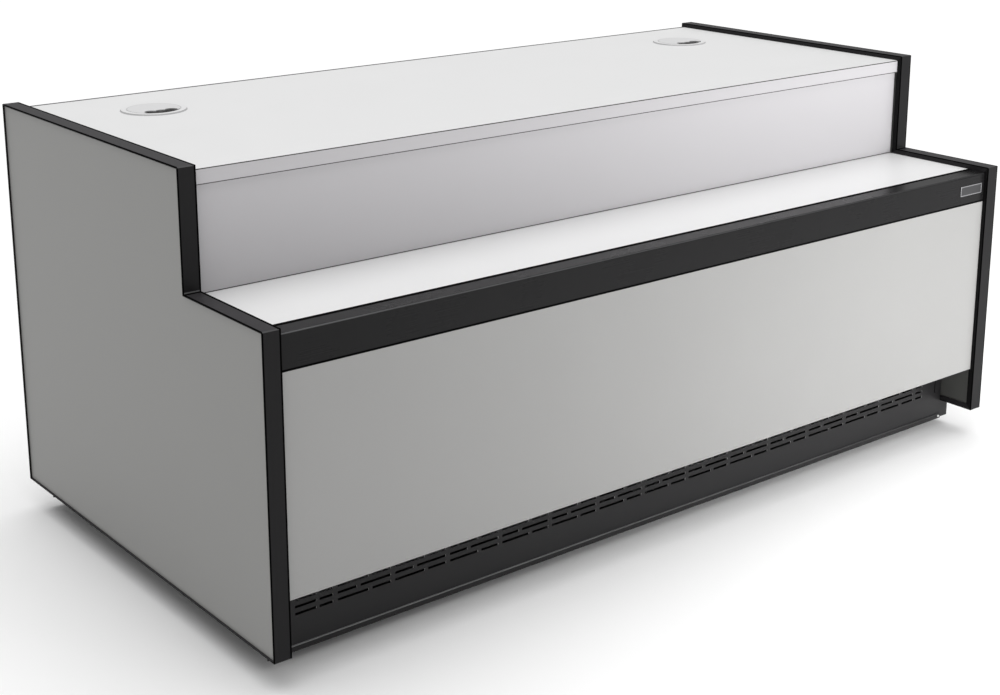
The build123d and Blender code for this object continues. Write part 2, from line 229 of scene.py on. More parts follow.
class Finish(Tree):
    """A material. What varies over the surface is fed to the shader's sockets."""

    def __init__(self, name, fixed=None):
        self.material = bpy.data.materials.new(name)
        self.material.use_nodes = True
        super().__init__(self.material.node_tree)
        self.shader = self.graph.nodes["Principled BSDF"]
        self.place = self.node("ShaderNodeTexCoord", output="Object")
        self.surface(fixed or {})

    def surface(self, sockets):
        for name, value in sockets.items():
            self.feed(self.shader.inputs[name], value)

    def grain(self, size, detail=2.0, stretch=(1, 1, 1)):
        """Soft noise from 0 to 1, with lumps of that size."""
        scale = tuple(part / size for part in stretch)
        spread = self.node("ShaderNodeMapping", {}, {"Vector": self.place, "Scale": scale})
        return self.node("ShaderNodeTexNoise", {}, {"Vector": spread, "Scale": 1.0, "Detail": detail}, "Fac")

    def flakes(self, size):
        """A value from 0 to 1 that is the same all over each small cell."""
        cells = self.node("ShaderNodeTexVoronoi", {}, {"Vector": self.place, "Scale": 1 / size}, "Color")
        return self.node("ShaderNodeSeparateColor", {}, {"Color": cells}, "Red")

    def at(self, axis):
        """The place along an axis, in metres."""
        return self.node("ShaderNodeSeparateXYZ", {}, {"Vector": self.place}, axis)

    def facing(self, axis):
        """How far a face points along an axis, from -1 to 1."""
        normal = self.node("ShaderNodeNewGeometry", output="True Normal")
        return self.node("ShaderNodeSeparateXYZ", {}, {"Vector": normal}, axis)

    def fading(self):
        """How strong a painted highlight is along the counter, from 1 at its left end to a tenth at its right end."""
        return FADE_MIDDLE - FADE_SLOPE * self.at("X")

    def between(self, share, first, second):
        """A colour from the first to the second."""
        first, second = (part if isinstance(part, Wire) else (*part, 1.0) for part in (first, second))
        return self.node("ShaderNodeMix", {"data_type": "RGBA"}, {"Factor": share, "A": first, "B": second})

    def drifting(self, colour, share, reach):
        """A colour that goes from darker to lighter, by a reach each way."""
        return self.between(share, tint(colour, -reach), tint(colour, reach))

    def relief(self, height, depth):
        """A normal for a surface that is that deep where the height goes from 0 to 1."""
        return self.node("ShaderNodeBump", {}, {"Height": height, "Distance": depth})


FINISHES = {}
print("finishes can be mixed")

# %% [markdown]
# ## Black profile
# The end panels are edged with a black extruded profile. A die leaves fine lines along an extrusion, and the satin
# coat over them softens their shine. The lines have to run along each length, so the uprights and the level lengths
# get a finish of their own. A texture painted on unwrapped faces would do it too, but the mitres would need care. The
# places of painted shade are mixed as a shader with full metal and a nearly black colour, which has almost no shine.

# %% Lines of a die
# The nearly black colour of the painted shade.
SHADE_BLACK = (0.003, 0.003, 0.003)
LINE_STRETCH = 1 / 90
ROUGHNESS_PER_DEPTH = 3000


def extruded(name, colour, run, roughness, shine, line_depth, highlighted, shaded):
    """A satin coat over the lines that a die leaves along one axis.

    One argument gives the places of a painted highlight and its colour, the other the places of painted shade, which
    are mixed nearly black with full metal so that they lose their shine. Both kinds of places are masks, which are
    written as functions of the finish.
    """
    finish = Finish(name, {"Specular IOR Level": shine})
    stretch = [1, 1, 1]
    stretch["XYZ".index(run)] = LINE_STRETCH
    lines = finish.grain(size=0.0011, stretch=stretch)
    pores = finish.grain(size=0.0006)
    haze = finish.grain(size=0.09, detail=4.0)
    highlight_places, highlight_colour = highlighted
    # A painted highlight, strongest at the counter's left end.
    highlight = highlight_places(finish) * finish.fading() * (0.7 + 0.6 * haze)
    coat = finish.between(highlight, finish.drifting(colour, haze, reach=0.12), highlight_colour)
    # Places of painted shade, nearly black and without shine.
    shaded_places = shaded(finish)
    line_gloss = ROUGHNESS_PER_DEPTH * line_depth * (lines - 0.5)
    finish.surface(
        {
            "Base Color": finish.between(shaded_places, coat, SHADE_BLACK),
            "Metallic": shaded_places,
            "Roughness": roughness + line_gloss + 0.08 * (haze - 0.5) + shaded_places,
            "Normal": finish.relief(0.7 * lines + 0.3 * pores, line_depth),
        }
    )
    return finish


print("extrusions can be coated")

# %% [markdown]
# A few places on the profile look different, and masks pick them out by the way a face points and by where it lies.
# The bevels at the outer mitres get a light painted highlight, and the mitre in the corner of the step gets a full
# one on the uprights. The rims that close on the boards get painted shade, nearly black and without shine, and so
# does a lip along the right side of each length. The flanges beside the boards get less of it. A dark line of painted
# shade runs along the corner of the step on the level lengths. Thin strips of mesh could show all this as well, but
# they would have to follow the edges of the solids by hand.

# %% Mitres with a painted highlight
ROUNDED = 0.4
# The bevels get this share of the painted highlight.
BEVEL_HIGHLIGHT = 0.4
MITRE_LINE = 0.0026
step_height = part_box("left_edge_tread")[1].z
step_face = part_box("left_edge_step")[0].y


def rounded_corner(finish):
    """1 where a face points both along Y and along Z, as a bevel or a rounded edge does."""
    return (abs(finish.facing("Y")) > ROUNDED) * (abs(finish.facing("Z")) > ROUNDED)


def outer_mitres(finish):
    """A light painted highlight on the bevels at the outer mitres."""
    return BEVEL_HIGHLIGHT * rounded_corner(finish)


def mitres(finish):
    """A light painted highlight on the outer mitres and a full one along the mitre in the corner of the step."""
    in_corner = (abs(finish.at("Z") - step_height) < MITRE_LINE) * (abs(finish.at("Y") - step_face) < MITRE_LINE)
    return finish.math("MAXIMUM", outer_mitres(finish), in_corner)


print("the step's corner is", round(step_height, 3), "up and at Y =", round(step_face, 3))

# %% Rims with painted shade
UPRIGHT_LIP = 0.0045
LEVEL_LIP = 0.007
CORNER_SEAM = 0.008
RIM_LEAN = 0.25
FLANGE_LEAN = 0.995
# The flanges get this much less of the painted shade.
FLANGE_LESS_SHADE = 0.7
left_inner, right_outer = (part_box(f"{side}_edge_front")[1].x for side in ("left", "right"))


def rims(finish, lip):
    """Painted shade: 1 on the rims and on a lip along the right side of each length, and less on the flanges."""
    x = finish.at("X")
    across = abs(finish.facing("X"))
    lips = ((x > right_outer - lip) + (x > left_inner - lip) * (x < 0)) * (across < RIM_LEAN)
    return finish.math("MAXIMUM", lips, (across > RIM_LEAN) - FLANGE_LESS_SHADE * (across > FLANGE_LEAN))


def upright_rims(finish):
    """Painted shade on the rims of the uprights."""
    return rims(finish, UPRIGHT_LIP)


def level_rims(finish):
    """Painted shade on the rims of the level lengths, and a dark line of painted shade in the corner of the step."""
    in_corner = (finish.at("Y") > step_face - CORNER_SEAM) * (abs(finish.at("Z") - step_height) < MITRE_LINE)
    return finish.math("MAXIMUM", rims(finish, LEVEL_LIP), in_corner)


print("lips end at X =", round(left_inner, 3), "and", round(right_outer, 3))

# %% [markdown]
# The level lengths face up, and their coat is mixed lighter than that of the uprights, as painted light from above.
# It is also rougher. More light from above would do it too, but it would brighten the boards as well.

# %% Black profile
BLACK_PROFILE = (0.0088, 0.0084, 0.0090)
# Lighter than the uprights, as painted light from above.
LIT_LEVEL_PROFILE = tint(BLACK_PROFILE, 2.6)
# The colour of the painted highlight on the mitres.
MITRE_HIGHLIGHT = (0.14, 0.14, 0.142)
FINISHES["upright_profile"] = extruded(
    "upright_profile", BLACK_PROFILE, "Z", roughness=0.38, shine=0.14, line_depth=0.00002,
    highlighted=(mitres, MITRE_HIGHLIGHT), shaded=upright_rims,
)
FINISHES["level_profile"] = extruded(
    "level_profile", LIT_LEVEL_PROFILE, "Y", roughness=0.46, shine=0.14, line_depth=0.00002,
    highlighted=(outer_mitres, MITRE_HIGHLIGHT), shaded=level_rims,
)
print("black profile, drawn along Z and along Y")

# %% [markdown]
# ## Black rail
# The rail under the parcel shelf is a black anodised extrusion. Anodising leaves the metal's own shine in place, so
# the rail is a little glossier than the coated profile and mirrors the end panel faintly in its top strip. Its lines
# are finer. Its rounded front edge gets a painted highlight. Its top strip along the shelf and its lower edge over the
# panel get painted shade, nearly black and without shine, for the dark gaps there. The recipe of the profile gives all
# of that, with masks of the rail's own.

# %% Black rail
BLACK_RAIL = (0.0098, 0.0096, 0.0100)
# A painted highlight on the rail's rounded front edge.
RAIL_EDGE_HIGHLIGHT = (0.085, 0.085, 0.087)
# How far the painted shade beside the shelf reaches, and how high the one over the panel goes.
SHELF_SHADE_WIDTH = 0.009
SEAM = 0.0036
FACES_UP = 0.5
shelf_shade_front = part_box("parcel_shelf")[0].y - SHELF_SHADE_WIDTH
seam_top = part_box("front_panel")[1].z + SEAM


def rail_seams(finish):
    """Painted shade: 1 on the top strip beside the shelf and on the lower edge above the panel."""
    beside_shelf = (finish.at("Y") > shelf_shade_front) * (finish.facing("Z") > FACES_UP)
    return finish.math("MAXIMUM", beside_shelf, finish.at("Z") < seam_top)


FINISHES["black_rail"] = extruded(
    "black_anodised_rail", BLACK_RAIL, "X", roughness=0.28, shine=0.125, line_depth=0.000008,
    highlighted=(rounded_corner, RAIL_EDGE_HIGHLIGHT), shaded=rail_seams,
)
print("black rail, drawn along X")

# %% [markdown]
# ## Coated sheets
# The plinth, the base and the kick plate are sheet steel with a black powder coat. Powder melts into a skin with soft
# dimples, like the peel of an orange, a few millimetres apart, and a much finer tooth. Real dimples would cost
# millions of faces, so they are a relief in the finish. The plinth's hem gets a painted highlight along its fold,
# which fades to the right. The punched ends of its slots are nearly bare steel, and their light colour is partly a
# painted highlight as well. The grey outer skins of the end panels are coated too, but smoother.

# %% Powder coat
COAT_SHINE = 0.25
# A painted highlight along the hem's fold.
FOLD_HIGHLIGHT = (0.21, 0.21, 0.212)
# The slot ends' colour: bare steel, and partly a painted highlight.
PUNCHED_STEEL_AND_GLINT = (0.75, 0.75, 0.75)
SLOT_END_LEAN = 0.7


def powder_coat(name, colour, roughness, peel, fold=None, slots=None):
    """A dimpled powder coat, with a painted highlight along a fold between two heights, and light ends of slots out to
    an X, which are bare steel and partly a painted highlight.
    """
    finish = Finish(name, {"Specular IOR Level": COAT_SHINE})
    dimples = finish.grain(size=0.0024, detail=1.0)
    tooth = finish.grain(size=0.0005)
    drift = finish.grain(size=0.15, detail=3.0)
    coat = finish.drifting(colour, 0.6 * drift + 0.4 * tooth, reach=0.06)
    if fold:
        # The hem's fold gets a painted highlight that fades to the right.
        on_fold = (finish.at("Z") > fold[0]) * (finish.at("Z") < fold[1])
        coat = finish.between(on_fold * finish.fading() * (0.6 + 0.8 * drift), coat, FOLD_HIGHLIGHT)
        slot_end = (abs(finish.facing("X")) > SLOT_END_LEAN) * (abs(finish.at("X")) < slots)
        coat = finish.between(slot_end, coat, PUNCHED_STEEL_AND_GLINT)
    finish.surface(
        {
            "Base Color": coat,
            "Roughness": roughness + 0.1 * (drift - 0.5) + 0.1 * (tooth - 0.5),
            "Normal": finish.relief(0.75 * dimples + 0.25 * tooth, peel),
        }
    )
    return finish


BLACK_SHEET = (0.0117, 0.0112, 0.0119)
WARM_GREY = (0.264, 0.263, 0.256)
HEM_FOLD = (0.0301, 0.0319)
SLOTS_REACH = 0.93
FINISHES["black_sheet"] = powder_coat("black_powder_coat", BLACK_SHEET, roughness=0.42, peel=0.00004)
# The plinth's coat carries the painted highlight along its fold.
FINISHES["plinth_grille"] = powder_coat(
    "black_plinth_coat", BLACK_SHEET, roughness=0.42, peel=0.00004, fold=HEM_FOLD, slots=SLOTS_REACH
)
FINISHES["grey_skin"] = powder_coat("warm_grey_coat", WARM_GREY, roughness=0.45, peel=0.000012)
print("powder coats: black, black with wear, and warm grey")

# %% [markdown]
# The front panel has a smooth silver coat, which holds tiny flakes that lie at many angles. A flat grey would look
# dead beside it, so each cell of a cell texture gets its own small change of tone and of shine. The panel's top fold
# lies in the dark gap under the rail, and it is painted nearly black there as painted shade.

# %% Flake coat
SILVER = (0.322, 0.320, 0.315)
# Painted shade on the panel's top fold, in the gap under the rail.
TOP_FOLD_SHADE = (0.012, 0.012, 0.012)


def metallic_coat(name, colour, roughness):
    """A smooth coat with fine flakes in it, and painted shade, nearly black, on the faces that point up."""
    finish = Finish(name, {"Metallic": 0.12})
    flakes = finish.flakes(size=0.0004)
    drift = finish.grain(size=0.2, detail=3.0)
    dimples = finish.grain(size=0.004, detail=1.0)
    coat = finish.drifting(colour, 0.5 * flakes + 0.5 * drift, reach=0.05)
    finish.surface(
        {
            "Base Color": finish.between(finish.facing("Z") > FACES_UP, coat, TOP_FOLD_SHADE),
            "Roughness": roughness + 0.08 * (flakes - 0.5) + 0.06 * (drift - 0.5),
            "Normal": finish.relief(dimples, depth=0.00001),
        }
    )
    return finish


FINISHES["silver_panel"] = metallic_coat("silver_flake_coat", SILVER, roughness=0.46)
print("silver coat with flakes")

# %% [markdown]
# ## Laminate and melamine boards
# The worktop, the riser and the parcel shelf are boards with a white laminate. It is pressed against a plate with a
# pearly texture, so it has soft bumps about a millimetre apart, and wiping leaves broad patches that shine a little
# differently. The gables and shelves behind are plain melamine boards. Their cut edges carry a glued band, which is
# smoother and has its own tone. The bands could be pieces of their own, but a face's normal already tells which faces
# are cut edges: those in front and behind on a flat board, and those above and below on the upright riser.

# %% A board's finish
CUT_EDGE = 0.35
MOTTLE = 0.015
# How much darker an upright board is painted at its foot, and lighter at its top, as painted shade.
UPRIGHT_SHADE_REACH = 0.11
HAIRLINE = 0.0020
# The hairlines' colour: the laminate's core line, and painted shade under the worktop and at the riser's foot.
CORE_AND_SHADE_COLOUR = (0.035, 0.033, 0.032)
# Black for the worktop's lipping, and painted shade on front edges that lie in dark gaps.
BLACK_LIPPING_AND_SHADE = (0.012, 0.012, 0.012)


def laminate(name, colour, roughness, band_colour, front_shade=None, hairlines=(), lipping=None, upright=None):
    """A pearly pressed surface with smooth bands on its edges.

    The faces that point forward may get a colour of their own as painted shade, hairlines run at some heights, and a
    black lipping starts at a Y. An upright board gives its lowest and highest Z, and is painted darker towards its foot
    and lighter towards its top, as painted shade.
    """
    finish = Finish(name)
    pearls = finish.grain(size=0.0011, detail=1.0)
    wiped = finish.grain(size=0.11, detail=4.0)
    forward = abs(finish.facing("Y")) > CUT_EDGE
    band = abs(finish.facing("Z")) > CUT_EDGE if upright else forward
    tones = tint(colour, -MOTTLE), tint(colour, MOTTLE)
    # An upright board is painted darker towards its foot and lighter towards its top, as painted shade.
    if upright:
        foot, head = upright
        rise = (finish.at("Z") - foot) / (head - foot)
        tones = (finish.drifting(tone, rise, UPRIGHT_SHADE_REACH) for tone in tones)
    shade = finish.between(0.5 * wiped + 0.5 * pearls, *tones)
    shade = finish.between(band, shade, band_colour)
    # Faces that point forward get this colour as painted shade.
    if front_shade:
        shade = finish.between(finish.facing("Y") < -CUT_EDGE, shade, front_shade)
    # Some hairlines are painted shade in a gap.
    for height in hairlines:
        hairline = forward * (abs(finish.at("Z") - height) < HAIRLINE)
        shade = finish.between(hairline, shade, CORE_AND_SHADE_COLOUR)
    if lipping:
        shade = finish.between(finish.at("Y") > lipping, shade, BLACK_LIPPING_AND_SHADE)
    finish.surface(
        {
            "Base Color": shade,
            "Roughness": roughness + 0.12 * (wiped - 0.5) - 0.06 * band,
            "Normal": finish.relief(pearls * (1 - 0.8 * band), depth=0.000012),
        }
    )
    return finish


print("boards can be laminated")

# %% [markdown]
# A dark hairline at the upper rim of the worktop's band shows where the laminate's core and the glue end. The
# hairline at its lower rim and the one along the joint at the riser's foot are painted shade, for the shadow in those
# gaps. A black lipping guards the worktop's rear edge. The riser is painted darker towards its foot and lighter
# towards its top, as painted shade near its corner with the shelf. The riser and the edge bands of the worktop and
# the parcel shelf take a darker copy of the white laminate, as painted shade. The parcel shelf and the boards inside
# have a black band at the front as painted shade, because those edges are seen only in a joint or through the slots
# of the plinth. Lines this thin are drawn in the finish, because a groove would have to be cut into the solids.

# %% Boards
WHITE_LAMINATE = (0.74, 0.74, 0.741)
# A darker copy of the white laminate, as painted shade, for the riser and the edge bands.
SHADED_VIOLET_WHITE = (0.470, 0.460, 0.474)
WHITE_MELAMINE = (0.74, 0.74, 0.73)
# The inner face of the end panels is this dark as painted shade, a shaded copy of the panel's grey.
SHADED_DARK_BOARD = (0.084, 0.085, 0.080)
LIPPING = 0.010
top_low, top_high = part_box("worktop")
riser_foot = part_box("parcel_shelf")[1].z
FINISHES["worktop"] = laminate(
    "white_worktop_laminate", WHITE_LAMINATE, roughness=0.42, band_colour=tint(SHADED_VIOLET_WHITE, 0.12),
    hairlines=[top_low.z, top_high.z], lipping=top_high.y - LIPPING,
)
FINISHES["parcel_shelf"] = laminate(
    "white_shelf_laminate", WHITE_LAMINATE, roughness=0.42, band_colour=SHADED_VIOLET_WHITE, front_shade=BLACK_LIPPING_AND_SHADE
)
FINISHES["white_riser"] = laminate(
    "violet_laminate", SHADED_VIOLET_WHITE, roughness=0.45, band_colour=SHADED_VIOLET_WHITE,
    hairlines=[riser_foot], upright=(riser_foot, top_low.z),
)
FINISHES["white_board"] = laminate(
    "white_melamine", WHITE_MELAMINE, roughness=0.4, band_colour=tint(WHITE_MELAMINE, 0.04), front_shade=BLACK_LIPPING_AND_SHADE
)
FINISHES["dark_board"] = laminate(
    "dark_melamine", SHADED_DARK_BOARD, roughness=0.5, band_colour=tint(SHADED_DARK_BOARD, -0.2)
)
print("boards: worktop, parcel shelf, riser, melamine and the dark panel board")

# %% [markdown]
# ## Zinc
# Screws, bolts, studs and shelf cleats are zinc plated. Zinc sets in small crystals, each with its own shine, and the
# plating has a faint bluish cast that drifts to yellow. A mirror-like metal would be the quick way, but it would look
# like chrome, so a cell texture changes the shine from crystal to crystal.

# %% Zinc
BLUISH_ZINC = (0.52, 0.55, 0.60)
YELLOWISH_ZINC = (0.72, 0.70, 0.62)


def plated(name):
    """Zinc crystals with a drifting cast."""
    finish = Finish(name, {"Metallic": 1.0})
    crystals = finish.flakes(size=0.0016)
    cast = finish.grain(size=0.02, detail=3.0)
    finish.surface(
        {
            "Base Color": finish.between(0.5 * cast + 0.5 * crystals, BLUISH_ZINC, YELLOWISH_ZINC),
            "Roughness": 0.28 + 0.14 * crystals,
            "Normal": finish.relief(finish.grain(size=0.0008), depth=0.00001),
        }
    )
    return finish


FINISHES["zinc_steel"] = plated("zinc_plated_steel")
print("zinc plating")

# %% [markdown]
# ## Plastic
# The foot pads and the grommets are moulded plastic with the fine spark-eroded grain of their mould. Upright walls of
# a white moulding are painted greyer, as painted shade, and a ring along a cap's rim has half of that grey. A cap's
# liner is a lighter white. Painting the shade by hand would suit one grommet, but a rule suits them both.

# %% Plastic
WALL_LEAN = 0.6
# A cap's rim ring gets this share of the walls' darkening.
RIM_SHARE = 0.5


def moulded(name, colour, roughness, wall_darkening=0.0, rim=None):
    """Plastic with the grain of a spark-eroded mould. Its walls are darker by a share, as painted shade, and a round
    rim by half that share.
    """
    finish = Finish(name)
    sparks = finish.grain(size=0.0005, detail=3.0)
    flow = finish.grain(size=0.03)
    shade = finish.drifting(colour, 0.7 * flow + 0.3 * sparks, reach=0.03)
    darker_places = abs(finish.facing("Z")) < WALL_LEAN
    if rim:
        across, along = abs(finish.at("X")) - rim["X"], finish.at("Y") - rim["Y"]
        reach = finish.math("SQRT", across * across + along * along)
        darker_places = finish.math("MAXIMUM", darker_places, RIM_SHARE * (reach > rim["reach"]))
    finish.surface(
        {
            "Base Color": finish.between(darker_places, shade, tint(colour, -wall_darkening)),
            "Roughness": roughness + 0.16 * (sparks - 0.5),
            "Normal": finish.relief(sparks, depth=0.00002),
        }
    )
    return finish


BLACK_PLASTIC = (0.022, 0.022, 0.023)
CAP_WHITE = (0.66, 0.66, 0.664)
LINER_WHITE = (0.735, 0.735, 0.738)
# How much greyer the grommets' walls are painted, as painted shade.
GROMMET_SHADE = 0.4
CAP_RIM = 0.0022
cap_low, cap_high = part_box("right_grommet_cap")
cap_middle = (cap_low.x + cap_high.x) / 2
cap_radius = (cap_high.x - cap_low.x) / 2
cap_rim = {"X": cap_middle, "Y": cap_high.y - cap_radius, "reach": cap_radius - CAP_RIM}
liner_plastic = moulded("white_liner_plastic", LINER_WHITE, roughness=0.36, wall_darkening=GROMMET_SHADE)
FINISHES["foot_plastic"] = moulded("black_moulded_plastic", BLACK_PLASTIC, roughness=0.55)
FINISHES["grommet_plastic"] = moulded(
    "white_cap_plastic", CAP_WHITE, roughness=0.36, wall_darkening=GROMMET_SHADE, rim=cap_rim
)
FINISHES["left_grommet_liner"] = FINISHES["right_grommet_liner"] = liner_plastic
print("plastics: black pads, white caps and whiter liners")

# %% [markdown]
# ## Brushed aluminium
# The blank plate on the rail is aluminium that was brushed along its length, and its field is toned darker. Brushing
# leaves short fine scratches. Anisotropic shine would be another way to show them, but stretched noise also shows
# where one scratch ends.

# %% Brushed aluminium
PLATE_ALUMINIUM = (0.36, 0.36, 0.37)
TONED_ALUMINIUM = (0.085, 0.085, 0.088)
SCRATCH_STRETCH = (1 / 60, 1, 1)


def brushed(name, colour):
    """Bare metal with short scratches along X."""
    finish = Finish(name, {"Metallic": 1.0})
    scratches = finish.grain(size=0.0003, detail=3.0, stretch=SCRATCH_STRETCH)
    finish.surface(
        {
            "Base Color": finish.drifting(colour, scratches, reach=0.1),
            "Roughness": 0.42 + 0.2 * (scratches - 0.5),
            "Normal": finish.relief(scratches, depth=0.000008),
        }
    )
    return finish


FINISHES["plate_rim"] = brushed("brushed_aluminium", PLATE_ALUMINIUM)
FINISHES["plate_field"] = brushed("toned_aluminium", TONED_ALUMINIUM)
print("brushed aluminium in two tones")

# %% [markdown]
# ## Dressing the solids
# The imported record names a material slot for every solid, and most finishes are named after those slots. The plinth,
# the worktop, the parcel shelf and the grommets' liners have a finish under their own name, and the black profile's
# follows the direction of each length. Dressing each solid by hand would need fifty lines, and a rule needs only a few.

# %% Dress the solids
UPRIGHT_EDGES = ("front", "step", "back")
for entry in frame["record"]["subparts"]:
    node = entry["node"]
    wanted = node if node in FINISHES else entry["material_slot"]
    if wanted == "black_profile":
        upright = node.rsplit("_", 1)[1] in UPRIGHT_EDGES
        wanted = "upright_profile" if upright else "level_profile"
    materials = nodes[node].data.materials
    materials.clear()
    materials.append(FINISHES[wanted].material)

# %% [markdown]
# ## Fasteners that repeat
# A screw is drawn once and set down many times, which is what Geometry Nodes are for. A loop that copies a mesh would
# do it too, but a tree keeps its sizes open to change. A Maker is a geometry tree with named sizes. It is run on a mesh
# that holds only points, one for each fastener, and the result is kept as a plain mesh: the instances are made real,
# they get their finish, and the modifier goes.

# %% A maker of repeated things
SMOOTH_UP_TO = math.radians(30)


class Maker(Tree):
    """A geometry tree with named sizes."""

    KINDS = {float: "NodeSocketFloat", int: "NodeSocketInt", tuple: "NodeSocketVector"}

    def __init__(self, name, sizes):
        super().__init__(bpy.data.node_groups.new(name, "GeometryNodeTree"))
        self.sizes = sizes
        face = self.graph.interface
        face.new_socket("Places", in_out="INPUT", socket_type="NodeSocketGeometry")
        for title, value in sizes.items():
            face.new_socket(title, in_out="INPUT", socket_type=self.KINDS[type(value)])
        face.new_socket("Pieces", in_out="OUTPUT", socket_type="NodeSocketGeometry")
        self.inlet = self.graph.nodes.new("NodeGroupInput")
        self.outlet = self.graph.nodes.new("NodeGroupOutput")

    def size(self, title):
        return Wire(self, self.inlet.outputs[title])

    def shifted(self, shape, z):
        """The shape moved up."""
        up = self.node("ShaderNodeCombineXYZ", {}, {"Z": z})
        return self.node("GeometryNodeTransform", {}, {"Geometry": shape, "Translation": up})

    def joined(self, *shapes):
        return self.node("GeometryNodeJoinGeometry", {}, {"Geometry": list(shapes)})

    def position(self):
        """The X, Y and Z of every point of a shape."""
        there = self.node("GeometryNodeInputPosition")
        return [self.node("ShaderNodeSeparateXYZ", {}, {"Vector": there}, axis) for axis in "XYZ"]

    def bent(self, shape, x, y, z):
        """The shape with each of its points moved to a new X, Y and Z."""
        place = self.node("ShaderNodeCombineXYZ", {}, {"X": x, "Y": y, "Z": z})
        return self.node("GeometryNodeSetPosition", {}, {"Geometry": shape, "Position": place})

    def random_turn(self):
        """A rotation that faces the given way and is turned at random about it."""
        facing = self.node("FunctionNodeAlignRotationToVector", {"axis": "Z"}, {"Vector": self.size("Facing")})
        angle = self.node("FunctionNodeRandomValue", {}, {"Max": math.pi, "Seed": self.size("Seed")})
        turn = self.node("FunctionNodeAxisAngleToRotation", {}, {"Axis": (0, 0, 1), "Angle": angle})
        both = {"Rotation": facing, "Rotate By": turn}
        return self.node("FunctionNodeRotateRotation", {"rotation_space": "LOCAL"}, both)

    def set_down(self, shape, finish, **rotation):
        """Sets the shape down on every point, as the tree's result."""
        many = {"Points": self.size("Places"), "Instance": shape, **rotation}
        many = self.node("GeometryNodeInstanceOnPoints", {}, many)
        real = self.node("GeometryNodeRealizeInstances", {}, {"Geometry": many})
        done = self.node("GeometryNodeSetMaterial", {}, {"Geometry": real, "Material": finish.material})
        self.feed(self.outlet.inputs["Pieces"], done)

    def make(self, name, places, body, slot, **changed):
        """Runs the tree on the places and keeps the result as a plain mesh on a body."""
        points = bpy.data.meshes.new(name)
        points.from_pydata(places, [], [])
        piece = in_scene(name, points)
        modifier = piece.modifiers.new(name, "NODES")
        modifier.node_group = self.graph
        sizes = {**self.sizes, **{title.replace("_", " ").capitalize(): value for title, value in changed.items()}}
        for item in self.graph.interface.items_tree:
            if item.name in sizes:
                modifier[item.identifier] = sizes[item.name]
        evaluated = piece.evaluated_get(bpy.context.evaluated_depsgraph_get())
        piece.data = bpy.data.meshes.new_from_object(evaluated)
        piece.modifiers.remove(modifier)
        piece.data.shade_smooth()
        piece.data.set_sharp_from_angle(angle=SMOOTH_UP_TO)
        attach(piece, body)
        print(name, len(places), "places,", len(piece.data.polygons), "faces")
        return piece


print("makers are ready")

# %% [markdown]
# ## Screws with a cross
# The plinth and the kick plate are held by pan-head screws, and smaller ones hold the shelf cleats to the gables. A
# head is formed here much as a punch forms it: a flat square of points is pulled into a disc, raised into a dome and
# pressed in wherever a point lies inside the cross. A flat copy closes it underneath. Cutting the cross with a Boolean
# would work as well, but it leaves slivers where the cut crosses the facets of the dome.

# %% Screws
screw = Maker(
    "pan_head_screw",
    {"Head radius": 0.0036, "Head height": 0.0024, "Cross length": 0.0034, "Cross width": 0.0009,
     "Cross depth": 0.0012, "Facing": (0.0, 0.0, 1.0), "Seed": 4},
)
SHEET_POINTS = 25
LEAST_REACH = 0.001
WELD = 0.000001
sheet_sizes = {"Size X": 2.0, "Size Y": 2.0, "Vertices X": SHEET_POINTS, "Vertices Y": SHEET_POINTS}
square = screw.node("GeometryNodeMeshGrid", {}, sheet_sizes, "Mesh")
x, y, _ = screw.position()
ring = x.math("MAXIMUM", abs(x), abs(y))
reach = x.math("MAXIMUM", x.math("SQRT", x * x + y * y), LEAST_REACH)
pull = screw.size("Head radius") * ring / reach
across = x * pull
along = y * pull
dome = screw.size("Head height") * x.math("SQRT", 1 - ring * ring * ring * ring)


def arm(first, second):
    """1 inside a bar of the cross that runs along the first direction."""
    return (abs(first) < screw.size("Cross length") / 2) * (abs(second) < screw.size("Cross width") / 2)


cross = x.math("MAXIMUM", arm(across, along), arm(along, across))
top = screw.bent(square, across, along, dome - screw.size("Cross depth") * cross)
under = screw.node("GeometryNodeFlipFaces", {}, {"Mesh": screw.bent(square, across, along, 0.0)})
halves = {"Geometry": screw.joined(top, under), "Distance": WELD}
screw_head = screw.node("GeometryNodeMergeByDistance", {}, halves)
screw.set_down(screw_head, FINISHES["zinc_steel"], Rotation=screw.random_turn())
print("screws come from a tree of", len(screw.graph.nodes), "nodes")

# %% [markdown]
# The screws sit on the faces that carry them, so their places are read from the solids. The plinth has one at each end
# of its hem, the kick plate six along its foot, and every cleat three along its upright leg.

# %% Screws of the plinth and the kick plate
HEM_INSET = 0.0075
HEM_RISE = 0.006
plinth_low, plinth_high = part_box("plinth_grille")
hem_ends = (plinth_low.x + HEM_INSET, plinth_high.x - HEM_INSET)
hem_places = [(end, plinth_low.y, plinth_low.z + HEM_RISE) for end in hem_ends]
screw.make("plinth_screws", hem_places, "counter", "zinc_steel", facing=(0.0, -1.0, 0.0))

KICK_SCREWS = 6
KICK_RISE = 0.022
kick_low, kick_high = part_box("rear_kick_plate")
kick_step = (kick_high.x - kick_low.x) / KICK_SCREWS
kick_places = [
    (kick_low.x + kick_step * (n + 0.5), kick_high.y, kick_low.z + KICK_RISE) for n in range(KICK_SCREWS)
]
screw.make("kick_plate_screws", kick_places, "counter", "zinc_steel", facing=(0.0, 1.0, 0.0))

# %% Screws of the cleats
CLEAT_WALL = 0.002
CLEAT_DROP = 0.012
CLEAT_SHARES = (0.16, 0.5, 0.88)
HEAD_SINK = 0.0005
SMALL_HEAD = {"head_radius": 0.003, "head_height": 0.0018, "cross_length": 0.0028, "cross_depth": 0.0009}
SIDES = {"left": 1, "right": -1}


